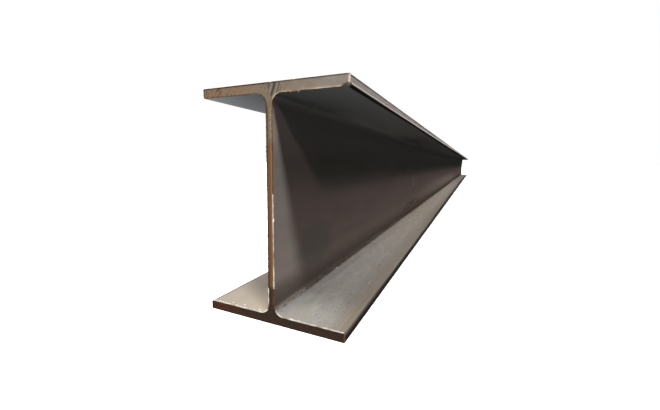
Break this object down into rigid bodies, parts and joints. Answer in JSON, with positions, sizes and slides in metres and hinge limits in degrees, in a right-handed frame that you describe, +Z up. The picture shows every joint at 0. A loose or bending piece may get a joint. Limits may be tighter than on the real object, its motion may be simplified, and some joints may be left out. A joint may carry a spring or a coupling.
{
  "type": "steel h-beam",
  "caption": "Hot-rolled wide-flange steel beam: a straight bar of H section with root fillets and square sawn ends, for structural framing.",
  "frame": {"origin": "middle of the bottom flange's underside", "axes": "+X along the bar from the near cut end to the far one, +Y across the flanges, +Z up the web"},
  "size_m": [6, 0.2, 0.294],
  "materials": {
    "rolled_steel": "hot-rolled mill scale, grey-brown and matt, with rust in the roots and on the sawn ends"
  },
  "bodies": {
    "root": {"h_beam": "rolled_steel"}
  },
  "joints": []
}
